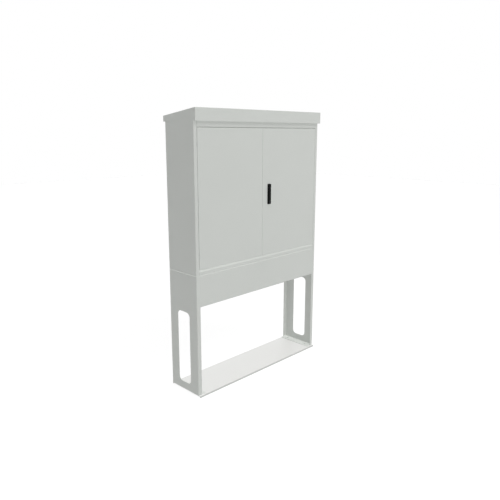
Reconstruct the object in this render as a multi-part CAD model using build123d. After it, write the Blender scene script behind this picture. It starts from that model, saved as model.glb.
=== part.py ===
from build123d import *
from math import cos, pi, radians, sin, sqrt, tan
import os

# Floor-standing distribution cabinet of folded sheet steel, in millimetres.
# +Z is up and the doors face -Y. The pieces are drawn about the middle of the casing,
# and are then moved so that the origin is under the middle of the roof, which reaches
# out further in front than behind, at the height of the surface that it stands on.

# Overall sizes. The casing is as tall as what it holds: see the shared heights below.
casing_width = 1060.0
casing_depth = 248.0
stand_top = 728.0
half_width = casing_width / 2
half_depth = casing_depth / 2

# Sheets
casing_sheet = 2.0
stand_sheet = 2.5
door_sheet = 1.5
base_sheet = 3.0
bend_radius = 2.0
tight_bend_radius = 1.2
bend_relief = 1.5
edge_clearance = 1.0
joint_gap = 0.4
cut_past = 1.0

# Base plate and stand
base_height = 10.0
base_end_inset = 2.0
base_front_reach = 12.0
anchor_hole_radius = 6.5
anchor_inset = 34.0
anchor_spacing_depth = 160.0
stand_front_flange = 25.0
stand_rear_flange = 32.0
stand_foot_flange = 55.0
stand_top_flange = 24.0
stand_top_radius = 5.0
window_width = 108.0
window_above_base = 44.0
window_below_skirt = 47.0
window_corner = 27.0
skirt_height = 186.0
skirt_flange = 42.0
skirt_hem = 15.0
skirt_lap = 17.0

# Door opening and its frame
stile_width = 22.5
stop_width = 21.0
sill_height = 29.0
sill_slope_run = 5.0
sill_slope_drop = 9.0
top_rail_height = 41.0
floor_flange = 60.0
rear_flange = 20.0
post_width = 40.0
post_depth = 22.0
post_plate_length = 60.0
slot_clearance = 1.0

# Doors
door_depth = 22.0
door_return = 18.0
door_edge_radius = 1.5
hinge_gap = 1.8
meeting_gap = 1.0
gap_below_door = 2.0
gap_above_door = 3.0
seal_width = 10.0
seal_thickness = 4.7
seal_edge_radius = 1.5
seal_inset = 6.0
seal_clearance = 0.3
stiffener_width = 50.0
stiffener_crown = 25.0
stiffener_depth = 14.0
stiffener_margin = 60.0

# Hinges
hinge_from_face = 5.5
hinge_from_edge = 8.0
hinge_margin = 90.0
hinge_pin_radius = 2.5
hinge_pin_tail = 1.0
hinge_pin_head = 1.5
hinge_fit = 0.05
hinge_barrel_radius = 3.5
hinge_barrel_height = 24.0
hinge_leaf_height = 50.0
hinge_leaf_sheet = 2.0
hinge_weld_gap = 0.2
hinge_arm_sheet = 3.0
hinge_arm_reach = 10.5
hinge_arm_offset = 1.0
hinge_tab_sheet = 2.5
hinge_end_play = 0.3

# Swing handle
handle_x = 56.5
handle_below_middle = 8.0
handle_base_width = 25.0
handle_base_length = 125.0
handle_base_thickness = 3.0
handle_base_corner = 5.0
handle_edge_radius = 1.0
handle_end_inset = 1.0
spindle_drop = 22.0
hub_radius = 9.0
hub_wall = 1.5
hub_hole_clearance = 1.0
head_width = 23.0
head_corner = 4.5
cheek_reach = 4.5
lever_width = 22.0
lever_thickness = 6.1
lever_corner = 4.0
lever_swing_gap = 1.5
lever_neck_overlap = 3.0
lever_eye_radius = 3.0
lever_eye_width = 10.0
lever_eye_gap = 0.2
lever_pin_radius = 1.2
lever_pin_inset = 0.5
running_gap = 0.05
cylinder_from_end = 16.0
cylinder_radius = 8.0
cylinder_proud = 0.3
cylinder_floor = 1.0
plug_radius = 5.5
plug_proud = 0.3
plug_end_gap = 0.1
key_slot_width = 1.6
key_slot_length = 7.0
key_slot_depth = 3.0
spindle_square = 8.0

# Rack drive of the lock rods
gear_module = 2.0
pinion_teeth = 12
pressure_angle = 25.0
gear_backlash = 0.2
pinion_width = 8.0
rack_addendum = 1.8
tooth_root_depth = 2.4
tooth_root_overlap = 0.5
flank_steps = 3
rack_tail_teeth = 2
rack_lead_teeth = 5
rod_width = 10.0
rod_thickness = 6.0
rod_end_clearance = 2.0
lock_case_sheet = 2.0
lock_case_half_height = 44.0
lock_case_side_gap = 1.0
lock_case_rod_gap = 0.5
lock_strap_height = 8.0

# Slide bolts of the left door
bolt_x = -34.0
bolt_radius = 4.0
bolt_length = 95.0
bolt_travel = 14.0
bolt_hole_clearance = 0.5
bolt_bracket_length = 60.0
bolt_bracket_width = 26.0
bolt_ear_thickness = 3.0
bolt_neck_radius = 3.0
bolt_knob_radius = 6.0
bolt_knob_length = 12.0
bolt_knob_standoff = 6.0

# Roof hood
roof_sheet = 2.0
roof_overlap = 10.0
roof_front_rise = 61.0
roof_rear_rise = 22.0
roof_front_reach = 20.0
roof_rear_reach = 13.0
roof_side_reach = 3.0
roof_edge_radius = 3.0
roof_drip = 9.0
rafter_x = 380.0
rafter_flange = 30.0

# Live parts and the frame that carries them
connection_height = 194.5
space_above_rails = 63.5
upright_x = 420.0
upright_width = 40.0
upright_crown = 24.0
upright_depth = 18.0
upright_margin = 22.0
busbar_spacing = 185.0
busbar_height = 30.0
busbar_thickness = 10.0
busbar_length = 920.0
busbar_edge_radius = 1.0
insulator_depth = 26.0
insulator_width = 36.0
insulator_height = 46.0
insulator_groove = 3.0
insulator_groove_depth = 4.0
rail_inner_x = 180.0
rail_outer_x = 330.0
rail_width = 96.0
rail_spine_width = 67.0
rail_spine = 26.0
rail_barrier = 80.0
rail_side_depth = 64.0
rail_barrier_thickness = 4.0
rail_margin = 40.0
contact_pitch = 125.0
contact_height = 24.0
contact_depth = 34.0
contact_wall = 2.5
contact_fit = 0.1
blade_axis = 26.0
blade_width = 15.0
blade_thickness = 6.0
blade_overlap = 8.0
fuse_body_height = 70.0
fuse_body_size = 44.0
fuse_body_radius = 6.0
neutral_bar_above_floor = 87.0
neutral_bar_length = 800.0
neutral_bar_height = 40.0
neutral_bar_thickness = 8.0
neutral_bar_standoff = 40.0
neutral_hole_radius = 6.5
neutral_bracket_sheet = 4.0
neutral_bracket_x = 346.0
neutral_bracket_foot = 44.0
neutral_bracket_pad = 20.0

# Cable clamp rail in the stand
clamp_rail_drop = 108.0
clamp_rail_width = 40.0
clamp_rail_depth = 22.0
clamp_lip = 10.0
cable_radius = 17.0
clamp_strap = 3.0
clamp_foot = 14.0
clamp_width = 22.0

# Fasteners
bolt_shank_radius = 4.0
bolt_shank_fit = 0.1
bolt_head_radius = 7.0
bolt_head_height = 5.0
bolt_tail = 8.0
casing_bolt_inset = 100.0

# Planes and heights that several pieces share
rails_bottom = stand_top + connection_height
rails_top = rails_bottom + rail_margin + 3 * busbar_spacing
casing_top_height = rails_top + space_above_rails
busbar_levels = [rails_top - (k + 0.5) * busbar_spacing for k in (2, 1, 0)]
skirt_bottom = stand_top - skirt_height
window_bottom = base_height + window_above_base
window_top = skirt_bottom - window_below_skirt
clamp_rail_height = stand_top - clamp_rail_drop
opening_bottom = stand_top + sill_height
opening_top = casing_top_height - top_rail_height
door_bottom = opening_bottom + gap_below_door
door_top = opening_top - gap_above_door
door_middle = (door_bottom + door_top) / 2
door_outer_x = half_width - stile_width - hinge_gap
door_inner_x = meeting_gap / 2
door_back = -half_depth + door_depth
door_skin_back = -half_depth + door_sheet
stop_face = door_back + seal_thickness + seal_clearance
inner_back = half_depth - 2 * casing_sheet
hinge_x = door_outer_x - hinge_from_edge
hinge_y = -half_depth + hinge_from_face
hinge_arm_y = (hinge_y + hinge_arm_reach, hinge_y + hinge_arm_reach + hinge_arm_sheet)
hinge_heights = (door_bottom + hinge_margin, door_middle, door_top - hinge_margin)
handle_height = door_middle - handle_below_middle
handle_top = handle_height + handle_base_length / 2
handle_bottom = handle_height - handle_base_length / 2
spindle_z = handle_top - spindle_drop
pitch_radius = gear_module * pinion_teeth / 2
roof_bottom = casing_top_height - roof_overlap
roof_front_top = casing_top_height + roof_front_rise
roof_rear_top = casing_top_height + roof_rear_rise
rail_positions = (-rail_outer_x, -rail_inner_x, rail_inner_x, rail_outer_x)
casing_bolt_x = half_width - casing_bolt_inset
casing_bolt_positions = (-casing_bolt_x, 0.0, casing_bolt_x)
casing_bolt_y = half_depth - skirt_flange + 2 * bolt_head_radius

os.makedirs("parts", exist_ok=True)


def save(name, *solids):
    """Write one or more separate solids, moved to the roof's middle, as one sub-part's STEP file."""
    placed = [Pos(0, (roof_front_reach - roof_rear_reach) / 2, 0) * solid for solid in solids]
    shape = placed[0] if len(placed) == 1 else Compound(children=placed)
    shape.label = name
    export_step(shape, f"parts/{name}.step")


def block(x, y, z):
    """Box between two bounds on each axis, given as (low, high) pairs."""
    return Pos(sum(x) / 2, sum(y) / 2, sum(z) / 2) * Box(x[1] - x[0], y[1] - y[0], z[1] - z[0])


def rod_y(radius, x, z, y):
    """Cylinder along Y between two bounds, centred on x and z."""
    return Pos(x, sum(y) / 2, z) * Rot(90, 0, 0) * Cylinder(radius, y[1] - y[0])


def rod_z(radius, x, y, z):
    """Cylinder along Z between two bounds, centred on x and y."""
    return Pos(x, y, sum(z) / 2) * Cylinder(radius, z[1] - z[0])


def folded(points, sheet, radius=bend_radius):
    """Section of a folded sheet: its middle line, rounded at each bend, at full thickness."""
    return trace(FilletPolyline(*points, radius=radius), sheet)


def folded_up(points, sheet, z, radius=bend_radius):
    """Folded sheet whose section lies in XY, standing between two heights."""
    return Pos(0, 0, z[0]) * extrude(folded(points, sheet, radius), z[1] - z[0])


def folded_across(points, sheet, x, radius=bend_radius):
    """Folded sheet whose section lies in YZ, running between two places along X."""
    section = Plane.YZ * folded(points, sheet, radius)
    return Pos(x[0], 0, 0) * extrude(section, x[1] - x[0])


def past(low, high):
    """Bounds of a cut that runs a little past both faces."""
    return (low - cut_past, high + cut_past)


def mirrored(shape):
    """The same piece for the other side of the cabinet."""
    return mirror(shape, about=Plane.YZ)


# Base plate: a channel with two short lips on the ground, open at its ends,
# that reaches out in front of the stand.
def make_base_plate():
    t = base_sheet
    front = -half_depth - base_front_reach + t / 2
    rear = half_depth - t / 2
    top = base_height - t / 2
    reach = half_width - base_end_inset
    plate = folded_across([(front, 0), (front, top), (rear, top), (rear, 0)], t, (-reach, reach))
    for x, y in anchor_points():
        plate -= rod_z(anchor_hole_radius, x, y, past(0, base_height))
    return plate


def anchor_points():
    """Centres of the ground anchors, beside each stand panel."""
    x = half_width - anchor_inset
    y = anchor_spacing_depth / 2
    return [(-x, -y), (x, -y), (-x, y), (x, y)]


# Stand panel: one folded sheet with front and rear flanges, a foot flange on the
# base plate, a top flange under the casing and a tall window with round corners.
def make_stand_panel():
    t = stand_sheet
    outer = -half_width + t / 2
    front = -half_depth + t / 2
    points = [
        (-half_width + stand_front_flange, front),
        (outer, front),
        (outer, -front),
        (-half_width + stand_rear_flange, -front),
    ]
    panel = folded_up(points, t, (base_height, stand_top))
    inner = -half_width + t
    across = (-half_depth + t, half_depth - t)
    panel += block((inner, -half_width + stand_foot_flange), across, (base_height, base_height + t))
    panel += block((inner, -half_width + stand_top_flange), across, (stand_top - t, stand_top))
    window = RectangleRounded(window_width, window_top - window_bottom, window_corner)
    opening = extrude(Plane.YZ * window, 2 * t, both=True)
    panel -= Pos(-half_width, 0, (window_top + window_bottom) / 2) * opening
    for x, y in anchor_points():
        panel -= rod_z(anchor_hole_radius, x, y, past(base_height, base_height + t))
    return panel - outside_top_bend()


def outside_top_bend():
    """What lies outside the round bend along the stand panel's outer top edge."""
    r = stand_top_radius
    y = past(-half_depth, half_depth)
    corner = block(
        (-half_width - cut_past, -half_width + r), y, (stand_top - r, stand_top + cut_past)
    )
    return corner - rod_y(r, -half_width + r, stand_top - r, y)


# Skirt: closes the stand above the cable opening, butted flush between the flanges,
# with a lap strip welded behind each end, a top flange and a hem.
def make_skirt(panel_flange):
    t = stand_sheet
    face = -half_depth + t / 2
    reach = half_width - panel_flange
    top = stand_top - t / 2
    points = [
        (-half_depth + skirt_hem, skirt_bottom + t / 2), (face, skirt_bottom + t / 2),
        (face, top), (-half_depth + skirt_flange, top),
    ]
    radii = (bend_radius, stand_top_radius - t / 2)
    skirt = folded_across(points, t, (-reach + joint_gap, reach - joint_gap), radii)
    lap_y = (-half_depth + t, -half_depth + 2 * t)
    lap_z = (skirt_bottom + t, stand_top - 2 * t)
    for side in (-1, 1):
        lap_x = sorted((side * (reach - skirt_lap), side * (reach + skirt_lap)))
        skirt += block(lap_x, lap_y, lap_z)
    for x in casing_bolt_positions:
        skirt -= rod_z(bolt_shank_radius, x, -casing_bolt_y, past(stand_top - t, stand_top))
    return skirt


# Casing side wall: one folded sheet from the door stop round the front stile,
# along the side and round to the rear flange, with a slot for each hinge's arm.
def make_side_wall():
    t = casing_sheet
    stile = -half_width + stile_width - t / 2
    outer = -half_width + t / 2
    front = -half_depth + t / 2
    points = [
        (-half_width + stile_width + stop_width, stop_face + t / 2),
        (stile, stop_face + t / 2),
        (stile, front),
        (outer, front),
        (outer, half_depth - t / 2),
        (-half_width + rear_flange, half_depth - t / 2),
    ]
    radii = (bend_radius, tight_bend_radius, bend_radius, bend_radius)
    wall = folded_up(points, t, (stand_top, casing_top_height), radii)
    stile_edge = -half_width + stile_width
    slot_y = (hinge_arm_y[0] - hinge_weld_gap, hinge_arm_y[1] + hinge_weld_gap)
    half_slot = hinge_barrel_height / 2 + hinge_weld_gap
    for height in hinge_heights:
        slot_z = (height - half_slot, height + half_slot)
        wall -= block(past(stile_edge - t, stile_edge), slot_y, slot_z)
    return wall


def stile_notch(z):
    """Room for both side walls' stiles and door stops, at the ends of a cross piece."""
    inner = half_width - stile_width - stop_width
    rear = stop_face + casing_sheet
    stile_edge = half_width - stile_width
    notch = block((stile_edge, half_width), (-half_depth - cut_past, rear), z)
    notch += block((inner, half_width), (stop_face, rear), z)
    notch += block((stile_edge - bend_relief, half_width), (stop_face - bend_relief, rear), z)
    return notch + mirrored(notch)


# Casing top: door stop, front rail and deck, folded from one sheet.
def make_casing_top():
    t = casing_sheet
    stop = stop_face + t / 2
    front = -half_depth + t / 2
    deck = casing_top_height - t / 2
    points = [
        (stop, opening_top - stop_width), (stop, opening_top + t / 2), (front, opening_top + t / 2),
        (front, deck), (half_depth - t, deck),
    ]
    radii = (bend_radius, tight_bend_radius, bend_radius)
    reach = half_width - t - edge_clearance
    top = folded_across(points, t, (-reach, reach), radii)
    top -= stile_notch(past(opening_top - stop_width, casing_top_height))
    slot = past(opening_top, opening_top + t)
    top -= rod_z(bolt_radius + slot_clearance, bolt_x, bolt_y(), slot)
    return top - rod_slot(upper_rod_x(), slot)


# Casing sill: door stop, a narrow ledge that slopes to shed the rain, front and floor
# flange, folded from one sheet.
def make_casing_sill():
    t = casing_sheet
    stop = stop_face + t / 2
    front = -half_depth + t / 2
    ledge = opening_bottom - t / 2
    bottom = stand_top + t / 2
    points = [
        (stop, opening_bottom + stop_width), (stop, ledge), (front + sill_slope_run, ledge),
        (front, ledge - sill_slope_drop), (front, bottom), (-half_depth + floor_flange, bottom),
    ]
    radii = (bend_radius, bend_radius, bend_radius, tight_bend_radius)
    reach = half_width - t - edge_clearance
    sill = folded_across(points, t, (-reach, reach), radii)
    sill -= stile_notch(past(stand_top, opening_bottom + stop_width))
    slot = past(opening_bottom - t, opening_bottom)
    sill -= rod_z(bolt_radius + slot_clearance, bolt_x, bolt_y(), slot)
    sill -= rod_slot(lower_rod_x(), slot)
    for x in casing_bolt_positions:
        sill -= rod_z(bolt_shank_radius, x, -casing_bolt_y, past(stand_top, stand_top + t))
    return sill


def rod_slot(x, z):
    """Slot in a frame flange for the end of a lock rod."""
    half = rod_width / 2 + slot_clearance
    y = (rod_front() - slot_clearance, rod_front() + rod_thickness + slot_clearance)
    return block((x - half, x + half), y, z)


# Back wall: flat panel inside the rear flanges, folded forward at top and bottom.
def make_back_wall():
    t = casing_sheet
    rear = inner_back + t / 2
    bottom = stand_top + t / 2
    top = casing_top_height - t - t / 2
    points = [
        (rear - floor_flange, bottom), (rear, bottom), (rear, top), (rear - rear_flange, top),
    ]
    reach = half_width - t - edge_clearance
    wall = folded_across(points, t, (-reach, reach))
    for x in casing_bolt_positions:
        wall -= rod_z(bolt_shank_radius, x, casing_bolt_y, past(stand_top, stand_top + t))
    return wall


# Centre post: removable upright behind the meeting edges, which both seals press on.
def make_centre_post():
    t = casing_sheet
    edge = post_width / 2 - t / 2
    front = stop_face + t / 2
    rear = stop_face + post_depth
    points = [(-edge, rear), (-edge, front), (edge, front), (edge, rear)]
    return folded_up(points, t, (opening_bottom + stop_width, opening_top - stop_width))


def make_post_plates():
    """Fixing plates that join the post to the door stops, one at each end."""
    t = casing_sheet
    behind = (stop_face + t, stop_face + 2 * t)
    wide = (-post_width / 2 + t + edge_clearance, post_width / 2 - t - edge_clearance)
    lower = block(wide, behind, (opening_bottom + t, opening_bottom + t + post_plate_length))
    upper = block(wide, behind, (opening_top - t - post_plate_length, opening_top - t))
    return lower, upper


# Roof: wedge-shaped hood, deeper at the front, that falls to the rear.
def make_roof():
    front = -half_depth - roof_front_reach
    rear = half_depth + roof_rear_reach
    reach = half_width + roof_side_reach
    side = Plane.YZ * make_face(Polyline(
        (front, roof_bottom), (rear, roof_bottom), (rear, roof_rear_top),
        (front, roof_front_top), close=True,
    ))
    solid = Pos(-reach, 0, 0) * extrude(side, 2 * reach)
    bottom = solid.faces().sort_by(Axis.Z)[0]
    solid = fillet(solid.edges() - bottom.edges(), roof_edge_radius)
    t = roof_sheet
    slope = (roof_front_top - roof_rear_top) / (rear - front)
    rise = t * sqrt(1 + slope**2)
    cavity = Plane.YZ * make_face(Polyline(
        (front + t, roof_bottom - cut_past), (rear - t, roof_bottom - cut_past),
        (rear - t, roof_rear_top + slope * t - rise), (front + t, roof_front_top - slope * t - rise),
        close=True,
    ))
    solid -= Pos(-reach + t, 0, 0) * extrude(cavity, 2 * (reach - t))
    drip = block(
        (-reach + t, reach - t), (front + t, front + roof_drip), (roof_bottom, roof_bottom + t)
    )
    return solid + drip


def roof_underside(y):
    """Height of the roof's inner face at one place along Y."""
    front = -half_depth - roof_front_reach
    rear = half_depth + roof_rear_reach
    slope = (roof_front_top - roof_rear_top) / (rear - front)
    return roof_front_top - slope * (y - front) - roof_sheet * sqrt(1 + slope**2)


# Roof rafters: tapered brackets on the deck that carry the hood.
def make_rafter(x):
    t = casing_sheet
    margin = rear_flange
    front = -half_depth + margin
    rear = half_depth - margin
    deck = casing_top_height
    web = Plane.YZ * make_face(Polyline(
        (front, deck), (rear, deck), (rear, roof_underside(rear)), (front, roof_underside(front)),
        close=True,
    ))
    rafter = Pos(x, 0, 0) * extrude(web, t)
    rafter += block((x, x + rafter_flange), (front, rear), (deck, deck + t))
    crown = Plane.YZ * make_face(Polyline(
        (front, roof_underside(front) - t), (rear, roof_underside(rear) - t),
        (rear, roof_underside(rear)), (front, roof_underside(front)), close=True,
    ))
    return rafter + Pos(x, 0, 0) * extrude(crown, rafter_flange)


# Door leaf: a pan folded on all four sides with a return flange for the seal.
# The hinge side is notched, and the metal of each notch is bent in as two tabs.
def make_left_leaf():
    t = door_sheet
    x = (-door_outer_x, -door_inner_x)
    z = (door_bottom, door_top)
    pan = block(x, (-half_depth, door_back), z)
    front_edges = pan.faces().sort_by(Axis.Y)[0].edges()
    pan = fillet(front_edges, door_edge_radius)
    pan -= block(
        (x[0] + t, x[1] - t), (door_skin_back, door_back - t), (z[0] + t, z[1] - t)
    )
    pan -= block(
        (x[0] + door_return, x[1] - door_return), past(door_back - t, door_back),
        (z[0] + door_return, z[1] - door_return),
    )
    for height in hinge_heights:
        pan -= block(
            (x[0] - cut_past, x[0] + t), (door_skin_back, door_back - t), hinge_space(height)
        )
        for tab in hinge_tabs(height):
            pan += tab
    return pan


def hinge_space(height):
    """Heights between the two tabs of one hinge."""
    half = hinge_barrel_height / 2 + hinge_end_play
    return (height - half, height + half)


def hinge_tabs(height):
    """Two tabs with the pin's holes, above and below a hinge barrel."""
    low, high = hinge_space(height)
    tabs = []
    for z in ((low - hinge_tab_sheet, low), (high, high + hinge_tab_sheet)):
        tab = block(
            (-door_outer_x + door_sheet, -hinge_x + hinge_from_edge),
            (door_skin_back, hinge_y + hinge_from_face), z,
        )
        hole = rod_z(hinge_pin_radius + hinge_fit, -hinge_x, hinge_y, past(*z))
        tabs.append(tab - hole)
    return tabs


# Hinge bracket: swan-necked arm through a slot in the stile, with its leaf welded inside.
# The pin sits inside the door's corner, so nothing shows when the door is closed.
def make_hinge_bracket(height):
    x, y = -hinge_x, hinge_y
    inside = -half_width + stile_width - casing_sheet
    arm = x + hinge_arm_offset
    arm_x = (arm - hinge_arm_sheet / 2, arm + hinge_arm_sheet / 2)
    half = hinge_barrel_height / 2
    z = (height - half, height + half)
    leaf_x = (inside - hinge_leaf_sheet, inside)
    leaf_y = (hinge_arm_y[0] - hinge_arm_sheet, stop_face - bend_relief)
    leaf_z = (height - hinge_leaf_height / 2, height + hinge_leaf_height / 2)
    bracket = rod_z(hinge_barrel_radius, x, y, z)
    bracket += block(arm_x, (y, hinge_arm_y[1]), z)
    bracket += block((leaf_x[0], arm_x[1]), hinge_arm_y, z)
    bracket += block(leaf_x, leaf_y, leaf_z)
    return bracket - rod_z(hinge_pin_radius + hinge_fit, x, y, past(*z))


def make_hinge_pin(height):
    """Pin with a small head on top, held in the tabs of the door."""
    low, high = hinge_space(height)
    top = high + hinge_tab_sheet
    bottom = low - hinge_tab_sheet - hinge_pin_tail
    pin = rod_z(hinge_pin_radius, -hinge_x, hinge_y, (bottom, top))
    return pin + rod_z(hinge_barrel_radius, -hinge_x, hinge_y, (top, top + hinge_pin_head))


# Door seal: a soft frame glued to the return flange.
def make_left_seal():
    x = (-door_outer_x + seal_inset, -door_inner_x - seal_inset)
    z = (door_bottom + seal_inset, door_top - seal_inset)
    y = (door_back, door_back + seal_thickness)
    inner_x = (x[0] + seal_width, x[1] - seal_width)
    inner_z = (z[0] + seal_width, z[1] - seal_width)
    seal = block(x, y, z) - block(inner_x, past(*y), inner_z)
    crown = seal.faces().sort_by(Axis.Y)[-1].edges()
    return fillet(crown, seal_edge_radius)


# Door stiffener: a hat section behind the middle of the leaf.
def make_left_stiffener():
    t = door_sheet
    middle = -(door_outer_x + door_inner_x) / 2
    half = stiffener_width / 2
    crown = stiffener_crown / 2
    skin = door_skin_back + t / 2
    top = skin + stiffener_depth
    points = [
        (middle - half, skin), (middle - crown, skin), (middle - crown, top),
        (middle + crown, top), (middle + crown, skin), (middle + half, skin),
    ]
    return folded_up(points, t, (door_bottom + stiffener_margin, door_top - stiffener_margin))


# Slide bolts of the left door: a round bolt with a knob, in a folded bracket.
def bolt_y():
    """Distance along Y of the bolts and lock rods' middle plane."""
    return (door_skin_back + door_back) / 2


def make_bolt(up):
    """Bolt that ends at the door's edge, with its knob in the middle of the bracket's window."""
    sign = 1 if up else -1
    tip = door_top if up else door_bottom
    bolt = rod_z(bolt_radius, bolt_x, bolt_y(), sorted((tip, tip - sign * bolt_length)))
    knob_z = tip - sign * (bolt_length - bolt_bracket_length / 2 + bolt_travel / 2)
    knob_y = door_back + bolt_knob_standoff
    neck = rod_y(bolt_neck_radius, bolt_x, knob_z, (bolt_y(), knob_y))
    grip = rod_y(bolt_knob_radius, bolt_x, knob_z, (knob_y, knob_y + bolt_knob_length))
    return bolt + neck + grip


def make_bolt_bracket(up):
    """Plate on the door's skin with two ears that guide the bolt."""
    sign = 1 if up else -1
    tip = door_top if up else door_bottom
    far = tip - sign * (bolt_length - bolt_travel / 2)
    z = sorted((far, far + sign * bolt_bracket_length))
    x = (bolt_x - bolt_bracket_width / 2, bolt_x + bolt_bracket_width / 2)
    bracket = block(x, (door_skin_back, door_skin_back + door_sheet), z)
    for low in (z[0], z[1] - bolt_ear_thickness):
        ear_z = (low, low + bolt_ear_thickness)
        bore = rod_z(bolt_radius + running_gap, bolt_x, bolt_y(), past(*ear_z))
        bracket += block(x, (door_skin_back, door_back), ear_z) - bore
    return bracket


# Lock rods: flat bars with rack teeth at the pinion, one on each side of it.
def upper_rod_x():
    """Middle of the rod that runs up, left of the pinion."""
    return handle_x - pitch_radius - tooth_root_depth - rod_width / 2


def lower_rod_x():
    """Middle of the rod that runs down, right of the pinion."""
    return handle_x + pitch_radius + tooth_root_depth + rod_width / 2


def rod_front():
    """Front face of the lock rods."""
    return bolt_y() - rod_thickness / 2


def rack_outline(side, low, high):
    """Toothed edge as points from low to high, with a space opposite the pinion's axis."""
    pitch = pi * gear_module
    pitch_line = handle_x + side * pitch_radius
    root = pitch_line + side * tooth_root_depth
    tip = pitch_line - side * rack_addendum
    lean = tan(radians(pressure_angle))
    half = pitch / 4 - gear_backlash / 2
    half_tip = half - rack_addendum * lean
    half_root = half + tooth_root_depth * lean
    points = []
    for k in range(low, high):
        middle = spindle_z + (k + 0.5) * pitch
        points += [
            (root, middle - half_root), (tip, middle - half_tip),
            (tip, middle + half_tip), (root, middle + half_root),
        ]
    return points


def make_lock_rod(side, end, low, high):
    """Rod from beside the pinion to its end past the door's edge."""
    teeth = rack_outline(side, low, high)
    root = teeth[0][0]
    back = root + side * rod_width
    tail = spindle_z + (low if end > spindle_z else high) * pi * gear_module
    ends = (tail, end) if end > tail else (end, tail)
    outline = [(back, ends[0]), (root, ends[0]), *teeth, (root, ends[1]), (back, ends[1])]
    profile = make_face(Polyline(*outline, close=True))
    rod = extrude(Plane.XZ * profile, rod_thickness, dir=(0, 1, 0))
    rod = Pos(0, rod_front(), 0) * rod
    corner = rod.edges().filter_by(Axis.Y).sort_by(Axis.Z)
    return chamfer(corner[-2:] if end > tail else corner[:2], rod_width / 4)


# Pinion: involute teeth worked out from the base circle, with a square bore.
def involute_point(base, radius, half_angle):
    """Point of a tooth's upper flank: an involute that starts at an angle above the tooth's middle."""
    roll = sqrt((radius / base) ** 2 - 1)
    x = base * (cos(roll) + roll * sin(roll))
    y = base * (sin(roll) - roll * cos(roll))
    return (
        x * cos(half_angle) + y * sin(half_angle),
        x * sin(half_angle) - y * cos(half_angle),
    )


def make_pinion():
    base = pitch_radius * cos(radians(pressure_angle))
    tip = pitch_radius + gear_module
    root = pitch_radius - tooth_root_depth
    half_tooth = (pi * gear_module / 2 - gear_backlash) / (2 * pitch_radius)
    half_base = half_tooth + tan(radians(pressure_angle)) - radians(pressure_angle)
    flank = [
        involute_point(base, base + (tip - base) * k / flank_steps, half_base)
        for k in range(flank_steps + 1)
    ]
    sunk = root - tooth_root_overlap
    upper = [(sunk * cos(half_base), sunk * sin(half_base)), *flank]
    lower = [(x, -y) for x, y in reversed(upper)]
    tooth = make_face(Polyline(*upper, *lower, close=True))
    blank = Circle(root)
    for k in range(pinion_teeth):
        blank += Rot(0, 0, 360 / pinion_teeth * k) * tooth
    blank -= Rectangle(spindle_square + running_gap, spindle_square + running_gap)
    wheel = extrude(Plane.XZ * blank, pinion_width, dir=(0, 1, 0))
    return Pos(handle_x, bolt_y() - pinion_width / 2, spindle_z) * wheel


# Lock case: open channel behind the skin with two straps that hold the rods.
def make_lock_case():
    t = lock_case_sheet
    half = pitch_radius + tooth_root_depth + rod_width + lock_case_side_gap + t
    z = (spindle_z - lock_case_half_height, spindle_z + lock_case_half_height)
    y = (door_skin_back, rod_front() + rod_thickness + lock_case_rod_gap + t)
    inside = (handle_x - half + t, handle_x + half - t)
    case = block((handle_x - half, handle_x + half), y, z)
    case -= block(inside, (y[0] + t, y[1] - t), past(*z))
    window_z = (z[0] + lock_strap_height, z[1] - lock_strap_height)
    case -= block(inside, past(y[1] - t, y[1]), window_z)
    return case - rod_y(hub_radius + running_gap, handle_x, spindle_z, past(y[0], y[0] + t))


# Right door: the mirrored leaf with the handle's hole and the rods' slots.
def make_right_door_panel():
    leaf = mirrored(make_left_leaf())
    hole_y = past(-half_depth, door_skin_back)
    leaf -= rod_y(hub_radius + hub_hole_clearance, handle_x, spindle_z, hole_y)
    leaf -= rod_slot(upper_rod_x(), past(door_top - door_sheet, door_top))
    return leaf - rod_slot(lower_rod_x(), past(door_bottom, door_bottom + door_sheet))


def make_left_door_panel():
    """Left leaf with the holes for its two slide bolts."""
    leaf = make_left_leaf()
    radius = bolt_radius + bolt_hole_clearance
    leaf -= rod_z(radius, bolt_x, bolt_y(), past(door_top - door_sheet, door_top))
    return leaf - rod_z(radius, bolt_x, bolt_y(), past(door_bottom, door_bottom + door_sheet))


# Handle base: flat moulding on the door that the hub turns in.
def make_handle_base():
    face = RectangleRounded(handle_base_width, handle_base_length, handle_base_corner)
    y = (-half_depth - handle_base_thickness, -half_depth)
    base = extrude(Plane.XZ * face, handle_base_thickness, dir=(0, 1, 0))
    base = Pos(handle_x, y[0], handle_height) * base
    base = fillet(base.faces().sort_by(Axis.Y)[0].edges(), handle_edge_radius)
    return base - rod_y(hub_radius + running_gap, handle_x, spindle_z, past(*y))


def hub_front():
    """Front end of the hub's journal, just in front of the base."""
    return -half_depth - handle_base_thickness - running_gap


def pivot_y():
    """Distance along Y of the pin that the lever lifts about."""
    return hub_front() - lever_eye_gap - lever_eye_radius


def lever_front():
    """Front plane that the lever and the hub's head share."""
    return pivot_y() - lever_eye_radius


def rounded_bar(width, z, corner, y, upper):
    """Flat bar in front of the base, with its upper or lower corners and front edges rounded."""
    face = Rectangle(width, z[1] - z[0])
    face = fillet(face.vertices().group_by(Axis.Y)[-1 if upper else 0], corner)
    bar = extrude(Plane.XZ * face, y[1] - y[0], dir=(0, 1, 0))
    bar = Pos(handle_x, y[0], sum(z) / 2) * bar
    return fillet(bar.faces().sort_by(Axis.Y)[0].edges(), handle_edge_radius)


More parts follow.
